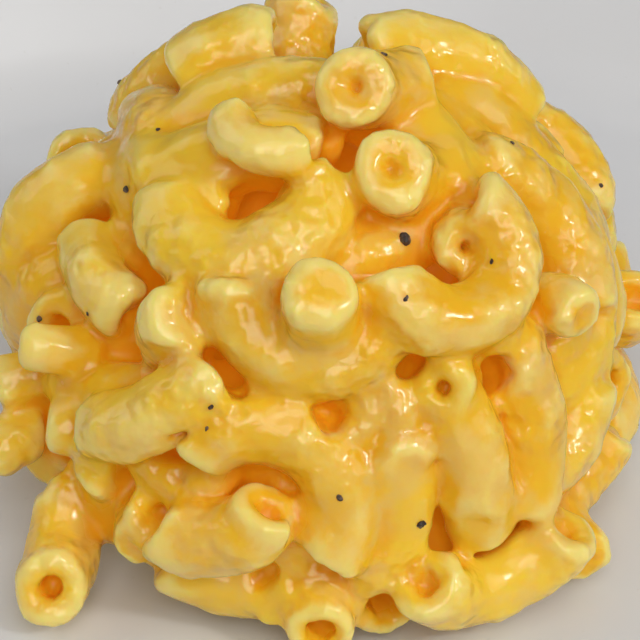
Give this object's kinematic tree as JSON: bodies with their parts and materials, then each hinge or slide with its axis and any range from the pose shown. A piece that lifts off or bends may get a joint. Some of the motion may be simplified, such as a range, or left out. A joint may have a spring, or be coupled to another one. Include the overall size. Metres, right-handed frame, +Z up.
{
  "type": "macaroni and cheese in a bowl",
  "caption": "Rounded heap of elbow macaroni in cheese sauce, served in a wide, shallow round bowl with a flared wall and a foot ring.",
  "frame": {"origin": "middle of the bowl's foot ring, on the plane it stands on", "axes": "+Z up out of the bowl, -Y towards the heap's front, +X to the right of someone who faces that front"},
  "size_m": [0.2222, 0.2222, 0.0625],
  "materials": {
    "white_glaze": "gloss",
    "cheese_sauce": "satin"
  },
  "bodies": {
    "root": {"bowl": "white_glaze", "macaroni_heap": "cheese_sauce"}
  },
  "joints": []
}
